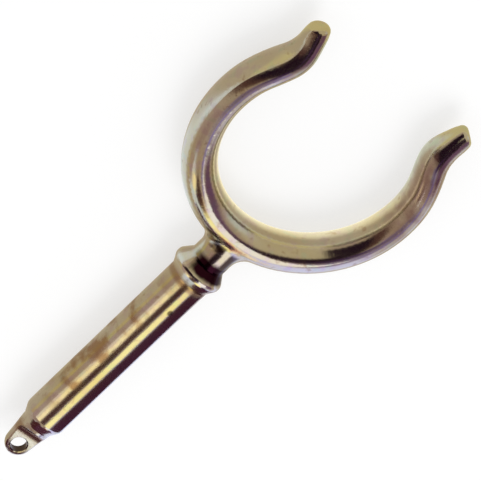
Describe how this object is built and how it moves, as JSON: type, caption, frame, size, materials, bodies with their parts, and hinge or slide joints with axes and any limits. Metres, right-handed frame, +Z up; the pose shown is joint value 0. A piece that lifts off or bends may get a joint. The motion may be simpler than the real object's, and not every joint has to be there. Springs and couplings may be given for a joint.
{
  "type": "rowlock",
  "caption": "Horn rowlock: a round shank with a lanyard eye, a collar and a short neck, and curved horns with flared blunt tips that hold an oar.",
  "frame": {"origin": "centre of the bounding box's bottom face, on the floor that the rowlock lies on", "axes": "+X along the shank from the lanyard eye to the horns, +Y across the horns, +Z up, square to the plane of the horns"},
  "size_m": [0.1576, 0.0718, 0.0156],
  "materials": {
    "chromed_metal": "polished"
  },
  "bodies": {
    "root": {"rowlock": "chromed_metal"}
  },
  "joints": []
}
